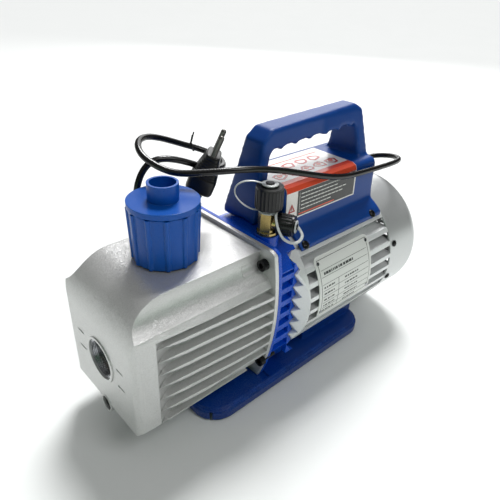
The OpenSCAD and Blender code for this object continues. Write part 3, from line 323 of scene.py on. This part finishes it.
# ---------------------------------------------------------------- mesh helpers
def add_mesh(name, verts, faces, mat, smooth=True):
    me = bpy.data.meshes.new(name)
    me.from_pydata([tuple(v) for v in verts], [], faces)
    me.validate()
    bm = bmesh.new(); bm.from_mesh(me)
    bmesh.ops.recalc_face_normals(bm, faces=bm.faces)
    bm.to_mesh(me); bm.free()
    o = bpy.data.objects.new(name, me)
    scene.collection.objects.link(o)
    me.materials.append(MATS[mat])
    if smooth:
        for p in me.polygons:
            p.use_smooth = True
    return o

class Prints:
    """Thin printed shapes that follow a surface given by place(a, b, h)."""
    def __init__(self, place, step):
        self.place, self.step, self.v, self.f = place, step, [], []
    def quad(self, a0, a1, b0, b1, h=0.00012):
        nb = max(1, int(math.ceil(abs(b1 - b0) / self.step)))
        bs = [b0 + (b1 - b0) * i / nb for i in range(nb + 1)]
        k = len(self.v)
        for b in bs:
            for a in (a0, a1):
                self.v.append(self.place(a, b, h)); self.v.append(self.place(a, b, 0.00002))
        for i in range(nb):
            p, q = k + 4 * i, k + 4 * (i + 1)
            self.f += [(p, p + 2, q + 2, q), (p + 1, q + 1, q + 3, p + 3), (p, q, q + 1, p + 1), (p + 2, p + 3, q + 3, q + 2)]
        self.f += [(k, k + 1, k + 3, k + 2), (q, q + 2, q + 3, q + 1)]
    def ring(self, pts, w, h=0.00012):
        """outline of a closed polygon (list of (a, b)), w wide, inwards"""
        n = len(pts)
        cx, cy = sum(p[0] for p in pts) / n, sum(p[1] for p in pts) / n
        inner = []
        for i in range(n):
            p0, p1, p2 = Vector(pts[i - 1]), Vector(pts[i]), Vector(pts[(i + 1) % n])
            d1, d2 = (p1 - p0).normalized(), (p2 - p1).normalized()
            n1, n2 = Vector((-d1.y, d1.x)), Vector((-d2.y, d2.x))
            if n1.dot(Vector((cx, cy)) - p1) < 0:
                n1, n2 = -n1, -n2
            m = (n1 + n2).normalized()
            inner.append(p1 + m * (w / max(0.4, m.dot(n1))))
        k = len(self.v)
        for p, q in zip(pts, inner):
            for r in (p, q):
                self.v.append(self.place(r[0], r[1], h)); self.v.append(self.place(r[0], r[1], 0.00002))
        for i in range(n):
            p, q = k + 4 * i, k + 4 * ((i + 1) % n)
            self.f += [(p, p + 2, q + 2, q), (p, q, q + 1, p + 1), (p + 2, p + 3, q + 3, q + 2), (p + 1, q + 1, q + 3, p + 3)]
    def solid(self, pts, h=0.00012):
        k, n = len(self.v), len(pts)
        for p in pts:
            self.v.append(self.place(p[0], p[1], h)); self.v.append(self.place(p[0], p[1], 0.00002))
        self.f.append(tuple(k + 2 * i for i in range(n)))
        self.f.append(tuple(k + 2 * i + 1 for i in reversed(range(n))))
        for i in range(n):
            j = (i + 1) % n
            self.f.append((k + 2 * i, k + 2 * i + 1, k + 2 * j + 1, k + 2 * j))
    def make(self, name, mat, body):
        o = add_mesh(name, self.v, self.f, mat, smooth=False)
        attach(o, body)
        return o

ROOT = "pump_body"
rnd = random.Random(7)

# ---------------------------------------------------------------- nameplate print
AX = 0.089
def on_plate(a, b, h):  # a along X, b = angle above the horizontal, degrees
    r = 0.07465 + h
    t = math.radians(b)
    return (a, -r * math.cos(t), AX + r * math.sin(t))
np_print = Prints(on_plate, 3)
X0, X1, A0, A1 = 0.0085, 0.0855, -9.6, 35.0
w = 0.0005; wa = 0.36
np_print.quad(X0, X1, A1 - wa, A1); np_print.quad(X0, X1, A0, A0 + wa)
np_print.quad(X0, X0 + w, A0, A1); np_print.quad(X1 - w, X1, A0, A1)
rows = [26.5, 21.0, 15.2, 10.0, 4.8, -0.4, -5.2]
for b in rows:
    np_print.quad(X0 + 0.002, X1 - 0.002, b, b + 0.26)
np_print.quad(0.034, 0.0345, -9.2, 15.2)
np_print.make("nameplate_lines", "ink_grey", ROOT)
np_txt = Prints(on_plate, 3)
def bars(pr, a0, a1, b0, b1, n, lo=0.25, hi=1.0):
    a = a0
    while a < a1 - 0.001:
        L = rnd.uniform(0.0012, 0.0046)
        pr.quad(a, min(a1, a + L), b0, b1)
        a += L + rnd.uniform(0.0006, 0.0016)
bars(np_txt, 0.014, 0.060, 22.6, 24.6, 8)
for b in rows[2:]:
    bars(np_txt, 0.012, 0.029, b - 3.2, b - 2.0, 3)
    bars(np_txt, 0.044, 0.066, b - 3.2, b - 2.0, 3)
np_txt.make("nameplate_rows", "ink_grey", ROOT)

# ---------------------------------------------------------------- label print on the terminal box
SEC = [(-0.03564, 0.16910), (-0.03435, 0.19635), (-0.03255, 0.20055), (-0.02835, 0.20235), (0.0248, 0.20235)]
CUM = [0.0]
for p, q in zip(SEC, SEC[1:]):
    CUM.append(CUM[-1] + math.dist(p, q))
def on_label(a, b, h):
    b = max(0.0, min(CUM[-1], b))
    i = max(k for k in range(len(SEC) - 1) if CUM[k] <= b + 1e-9)
    t = (b - CUM[i]) / (CUM[i + 1] - CUM[i])
    y = SEC[i][0] + (SEC[i + 1][0] - SEC[i][0]) * t
    z = SEC[i][1] + (SEC[i + 1][1] - SEC[i][1]) * t
    dy, dz = SEC[i + 1][0] - SEC[i][0], SEC[i + 1][1] - SEC[i][1]
    L = math.hypot(dy, dz)
    return (a, y - dz / L * h, z + dy / L * h)
S1, S2, S3 = CUM[1], CUM[2], CUM[3]
blk = Prints(on_label, 0.5)
blk.quad(0.004, 0.0895, 0.0016, S1 - 0.0006)
blk.make("label_black_panel", "ink_black", ROOT)
org = Prints(on_label, 0.5)
org.quad(-0.0108, 0.0915, S1 - 0.0002, S1 + 0.0002)
for s0, s1 in ((S1, S2), (S2, S3), (S3, S3 + 0.0065)):
    org.quad(-0.0108, 0.0915, s0, s1)
org.quad(0.006, 0.058, 0.0028, 0.0040, 0.00026)
org.make("label_orange_band", "ink_orange", ROOT)
wl = Prints(on_label, 0.5)
for k, L in enumerate((0.060, 0.052, 0.066, 0.058, 0.040)):
    b = 0.0226 - k * 0.0038
    a = 0.0085
    while a < 0.0085 + L:
        s = rnd.uniform(0.002, 0.006)
        wl.quad(a, a + s, b, b + 0.00095, 0.00026)
        a += s + 0.0009
wl.quad(0.0062, 0.0066, 0.0055, 0.0246, 0.00026)
wl.make("label_white_lines", "ink_white", ROOT)
tri = Prints(on_label, 0.5)
tri.ring([(-0.0085, 0.0075), (0.0010, 0.0075), (-0.00375, 0.0160)], 0.0012)
tri.quad(-0.0041, -0.0034, 0.0098, 0.0128)
# bold generic shapes on the top of the label
def blob(cx, cy, w, h, k):
    pts = []
    for i in range(k):
        t = 2 * math.pi * i / k + 0.4
        r = 1 + 0.16 * math.sin(3 * t + cx * 400)
        pts.append((cx + w * r * math.cos(t), cy + h * r * math.sin(t)))
    return pts
x = 0.003
for i in range(5):
    tri.ring(blob(x, S3 + 0.0165, 0.0082, 0.0062, 9), 0.0022)
    x += 0.0185
x = 0.012
for i in range(4):
    tri.ring(blob(x, S3 + 0.0325, 0.0080, 0.0060, 8), 0.0022)
    x += 0.0185
tri.make("label_red_shapes", "ink_red", ROOT)
fill = Prints(on_label, 0.5)
x = 0.003
for i in range(5):
    fill.solid([(p[0] * 0.55 + x * 0.45, p[1] * 0.55 + (S3 + 0.0175) * 0.45) for p in blob(x, S3 + 0.0175, 0.0062, 0.0044, 9)])
    x += 0.0185
fill.quad(0.0, 0.084, S3 + 0.0425, S3 + 0.0437)
fill.make("label_top_fill", "ink_orange", ROOT)

# ---------------------------------------------------------------- softened mouldings
def soften(node, name, mat, body, voxel, rounds, factor=0.5):
    """A rounded skin over a CAD moulding: remeshed, then relaxed so that its edges get a moulded radius."""
    src = NODES[node]
    o = bpy.data.objects.new(name, src.data.copy())
    scene.collection.objects.link(o)
    o.data.materials.clear()
    o.data.materials.append(MATS[mat])
    w = o.modifiers.new("weld", "WELD"); w.merge_threshold = 0.00001
    r = o.modifiers.new("remesh", "REMESH"); r.mode = "VOXEL"; r.voxel_size = voxel; r.use_smooth_shade = True
    sm = o.modifiers.new("smooth", "SMOOTH"); sm.factor = factor; sm.iterations = rounds
    bpy.context.view_layer.update()
    dg = bpy.context.evaluated_depsgraph_get()
    me = bpy.data.meshes.new_from_object(o.evaluated_get(dg), depsgraph=dg)
    o.modifiers.clear()
    o.data = me
    for p in me.polygons:
        p.use_smooth = True
    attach(o, body)
    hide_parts(node)
    return o
soften("handle", "handle_soft", "blue_handle", ROOT, 0.0013, 22)

# ---------------------------------------------------------------- helpers for soft parts
def catmull(p, n):
    out = []
    P = [2 * p[0] - p[1]] + list(p) + [2 * p[-1] - p[-2]]
    for i in range(1, len(P) - 2):
        for k in range(n):
            t = k / n
            out.append(0.5 * ((2 * P[i]) + (P[i + 1] - P[i - 1]) * t + (2 * P[i - 1] - 5 * P[i] + 4 * P[i + 1] - P[i + 2]) * t * t + (3 * P[i] - P[i - 1] - 3 * P[i + 1] + P[i + 2]) * t ** 3))
    out.append(P[-2])
    return out
def ribbon(pts, hw, ht, ref, V, F, sides=10):
    """flat strap: an oval section hw by ht swept along pts; ref leans the flat side"""
    k0 = len(V)
    u = Vector(ref)
    for i, p in enumerate(pts):
        t = (pts[min(i + 1, len(pts) - 1)] - pts[max(i - 1, 0)]).normalized()
        u = (u - t * u.dot(t)).normalized()
        w = t.cross(u)
        for a in range(sides):
            b = 2 * math.pi * a / sides
            V.append(p + u * (hw * math.cos(b)) + w * (ht * math.sin(b)))
    for i in range(len(pts) - 1):
        for a in range(sides):
            c = (a + 1) % sides
            F.append((k0 + i * sides + a, k0 + i * sides + c, k0 + (i + 1) * sides + c, k0 + (i + 1) * sides + a))
    F.append(tuple(k0 + a for a in reversed(range(sides))))
    F.append(tuple(k0 + (len(pts) - 1) * sides + a for a in range(sides)))
def revolve(prof, m, V, F, n=40, closed=True):
    """closed profile of (r, z) points turned about the z axis of matrix m"""
    k0 = len(V)
    for i in range(n):
        a = 2 * math.pi * i / n
        for r, z in prof:
            V.append(m @ Vector((r * math.cos(a), r * math.sin(a), z)))
    q_ = len(prof)
    for i in range(n):
        j = (i + 1) % n
        for a in range(q_ if closed else q_ - 1):
            b = (a + 1) % q_
            F.append((k0 + i * q_ + a, k0 + i * q_ + b, k0 + j * q_ + b, k0 + j * q_ + a))
def washer(ri, ro, z0, z1, c=0.3):
    return [(ri + c, z0), (ro - c, z0), (ro, z0 + c), (ro, z1 - c), (ro - c, z1), (ri + c, z1), (ri, z1 - c), (ri, z0 + c)]
MM = Matrix.Scale(0.001, 4)
INLET = Vector((-28, -29, 161.6))
M_IN = MM @ Matrix.Translation(INLET)
SIDE_AZ = math.radians(-62)
M_SIDE = MM @ Matrix.Translation(INLET + Vector((0, 0, 11.5))) @ Matrix.Rotation(SIDE_AZ, 4, "Z") @ Matrix.Rotation(math.radians(90), 4, "Y")

V, F = [], []
revolve(washer(4.0, 7.6, 47.3, 48.5), M_IN, V, F)
revolve(washer(6.5, 9.0, 21.6, 23.0), M_IN, V, F)
path = [(-4.5, 4.5, 47.9), (-10, 10, 49.6), (-16, 15, 49.2), (-20.5, 19.5, 45.5), (-22, 21, 40), (-20.8, 19.8, 34), (-17, 16, 28), (-11.5, 10.5, 23.6), (-5.6, 5.6, 22.3)]
ribbon(catmull([M_IN @ Vector(p) for p in path], 7), 0.00145, 0.0006, (1, 1, 0), V, F)
o = add_mesh("tether_top_soft", V, F, "clear_strap")
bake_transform(o)
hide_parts("tether_top")
V, F = [], []
revolve(washer(3.2, 6.0, 26.0, 27.2), M_SIDE, V, F)
revolve(washer(6.5, 9.0, 23.6, 24.8), M_IN, V, F)
path = [(2, -7.8, 24.2), (-3.3, -13.1, 20.4), (-4.7, -18.3, 12), (-2.2, -22.8, 4.2), (3.4, -27.4, 0.2), (10, -30, 0.2), (15.8, -28.6, 4.2), (16.3, -21.8, 10.3)]
ribbon(catmull([M_IN @ Vector(p) for p in path], 7), 0.00145, 0.0006, (1, 0.2, 0), V, F)
o = add_mesh("tether_side_soft", V, F, "clear_strap")
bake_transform(o)
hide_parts("tether_side")

# ---------------------------------------------------------------- cord
ROUTE = [[147, 14, 166], [168, 16, 166], [184, 9, 170], [191, -12, 175],
    [181, -32, 179], [158, -39, 181], [93, -39, 185], [57, -40, 188],
    [15, -37, 201], [-20, -26, 211], [-50, -20, 216], [-72, -8, 215],
    [-86, 4, 213], [-96, 14, 212], [-104, 26, 215], [-111, 42, 222],
    [-104, 60, 228], [-88, 70, 228], [-68, 71, 221], [-48, 69, 212],
    [-29, 62, 205], [-20, 45, 199], [-32, 27, 198], [-52, 24, 202],
    [-70, 30, 211], [-87, 36, 217], [-101, 41, 217], [-112, 42, 208],
    [-119, 42, 190], [-117, 41, 172], [-112, 39, 158], [-94, 38, 153],
    [-78, 35, 157], [-68, 30, 170], [-65, 27, 182]]
RT = [Vector((p[0] / 1000, p[1] / 1000, (p[2] + 9) / 1000)) for p in ROUTE]
def q(i):
    n = len(RT)
    return 2 * RT[0] - RT[1] if i < 0 else 2 * RT[-1] - RT[-2] if i >= n else RT[i]
def bspline(i, t):
    return ((1 - t) ** 3 * q(i - 1) + (3 * t ** 3 - 6 * t * t + 4) * q(i) + (-3 * t ** 3 + 3 * t * t + 3 * t + 1) * q(i + 1) + t ** 3 * q(i + 2)) / 6
LINE = [bspline(i, k / 6) for i in range(len(RT) - 1) for k in range(6)] + [bspline(len(RT) - 2, 1.0)]
cu = bpy.data.curves.new("cord", "CURVE")
cu.dimensions = "3D"
sp = cu.splines.new("POLY")
sp.points.add(len(LINE) - 1)
for p, v in zip(sp.points, LINE):
    p.co = (*v, 1)
cu.bevel_depth = 0.0029
cu.bevel_resolution = 5
cu.use_fill_caps = True
cord = bpy.data.objects.new("cord", cu)
scene.collection.objects.link(cord)
cu.materials.append(MATS["cord_black"])
# moulded plug: flat sided body with a ribbed grip and a flexible tail
M_PLUG = MM @ Matrix.Translation(RT[-1] * 1000) @ Matrix.Rotation(math.radians(-45), 4, "Z") @ Matrix.Rotation(math.radians(22.7), 4, "Y")
V, F = [], []
def plug_section(z, hx, hy, e, n=40):
    for k in range(n):
        a = 2 * math.pi * k / n
        c, d = math.cos(a), math.sin(a)
        V.append(M_PLUG @ Vector((hx * math.copysign(abs(c) ** (2 / e), c), hy * math.copysign(abs(d) ** (2 / e), d), z)))
secs = [(-14, 3.9, 3.9, 2)]
for k in range(5):
    z = -13.4 + k * 3.5
    r = 4.5 + 0.34 * k
    secs += [(z, r - 0.3, r - 0.3, 2), (z + 0.3, r + 0.25, r + 0.25, 2), (z + 1.9, r + 0.25, r + 0.25, 2), (z + 2.2, r - 0.45, r - 0.45, 2), (z + 3.2, r - 0.4, r - 0.4, 2)]
secs += [(4.0, 6.4, 6.6, 2.2), (4.3, 10.2, 11.2, 4), (5.4, 11.9, 12.9, 5), (8, 12.5, 13.5, 6), (17.5, 12.3, 13.5, 6)]
zz = 19.0
hx = 12.0
while zz < 37:
    t = (zz - 19) / 18
    bx, by = 12.0 - 4.6 * t, 13.5 - 0.8 * t
    secs += [(zz, bx, by, 5.5), (zz + 1.3, bx - 0.25, by - 0.1, 5.5), (zz + 1.55, bx - 0.9, by - 0.5, 5.5), (zz + 2.1, bx - 0.95, by - 0.5, 5.5)]
    zz += 2.4
secs += [(38.2, 6.9, 12.6, 5), (40.8, 6.5, 12.4, 5), (41.6, 6.1, 12.0, 5), (42.0, 5.2, 11.2, 5)]
for z, hx, hy, e in secs:
    plug_section(z, hx, hy, e)
NS = 40
for i in range(len(secs) - 1):
    for k in range(NS):
        c = (k + 1) % NS
        F.append((i * NS + k, i * NS + c, (i + 1) * NS + c, (i + 1) * NS + k))
F.append(tuple(reversed(range(NS))))
F.append(tuple((len(secs) - 1) * NS + k for k in range(NS)))
plug = add_mesh("plug_moulding", V, F, "black_plastic")
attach(plug, ROOT)
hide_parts("plug_body")

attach(cord, ROOT)
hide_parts("power_cord")

# ---------------------------------------------------------------- floor and light
def floor():
    g = G("floor_paper")
    g.put(g.b.inputs["Base Color"], g.mix(g.map(g.noise(3, 4), 0.3, 0.7, 0, 0.04), lin(232, 234, 233), lin(220, 222, 221)))
    g.put(g.b.inputs["Roughness"], g.map(g.noise(5, 3), 0.3, 0.7, 0.75, 0.9))
    me = bpy.data.meshes.new("floor")
    s = 40
    me.from_pydata([(-s, -s, 0), (s, -s, 0), (s, s, 0), (-s, s, 0)], [], [(0, 1, 2, 3)])
    o = bpy.data.objects.new("floor", me)
    me.materials.append(g.m)
    scene.collection.objects.link(o)
    o.location.z = -0.0002
floor()

def area(name, loc, target, size, power, col=(1, 1, 1), size_y=None):
    d = bpy.data.lights.new(name, "AREA")
    d.energy, d.size, d.color = power, size, col
    if size_y:
        d.shape, d.size_y = "RECTANGLE", size_y
    o = bpy.data.objects.new(name, d)
    o.location = loc
    o.rotation_mode = "QUATERNION"
    o.rotation_quaternion = (Vector(target) - Vector(loc)).to_track_quat("-Z", "Y")
    scene.collection.objects.link(o)
def sun(name, direction, power, angle):
    d = bpy.data.lights.new(name, "SUN")
    d.energy, d.angle = power, math.radians(angle)
    o = bpy.data.objects.new(name, d)
    o.rotation_mode = "QUATERNION"
    o.rotation_quaternion = (-Vector(direction)).to_track_quat("-Z", "Y")
    scene.collection.objects.link(o)
sun("window_sun", (0.42, 0.34, 0.84), 3.2, 18)
area("back_soft", (1.25, 1.10, 0.95), (0, 0, 0.1), 1.3, 12)
area("side_soft", (0.15, -1.15, 1.55), (0, 0, 0.12), 0.7, 7.5)
area("front_low", (-1.3, -0.35, 0.10), (0, 0, 0.06), 0.8, 1.0, (0.16, 0.80, 0.32))
area("side_low", (0.5, -1.3, 0.10), (0.05, 0, 0.06), 0.8, 0.8, (0.20, 0.80, 0.36))

wd = bpy.data.worlds.new("studio")
scene.world = wd
wd.use_nodes = True
nt = wd.node_tree
nt.nodes.clear()
out = nt.nodes.new("ShaderNodeOutputWorld")
bg = nt.nodes.new("ShaderNodeBackground")
tc = nt.nodes.new("ShaderNodeTexCoord")
sx = nt.nodes.new("ShaderNodeSeparateXYZ")
ramp = nt.nodes.new("ShaderNodeValToRGB")
nt.links.new(tc.outputs["Generated"], sx.inputs[0])
mr = nt.nodes.new("ShaderNodeMapRange")
nt.links.new(sx.outputs[2], mr.inputs[0])
mr.inputs[1].default_value, mr.inputs[2].default_value = -1, 1
nt.links.new(mr.outputs[0], ramp.inputs[0])
cr = ramp.color_ramp
cr.elements[0].position, cr.elements[0].color = 0.0, (0.30, 0.30, 0.30, 1)
cr.elements[1].position, cr.elements[1].color = 1.0, (1, 1, 1, 1)
for p, c in ((0.50, 0.14), (0.62, 0.22), (0.80, 0.55)):
    e = cr.elements.new(p)
    e.color = (c, c, c, 1)
nt.links.new(ramp.outputs[0], bg.inputs[0])
bg.inputs[1].default_value = 0.36
nt.links.new(bg.outputs[0], out.inputs[0])
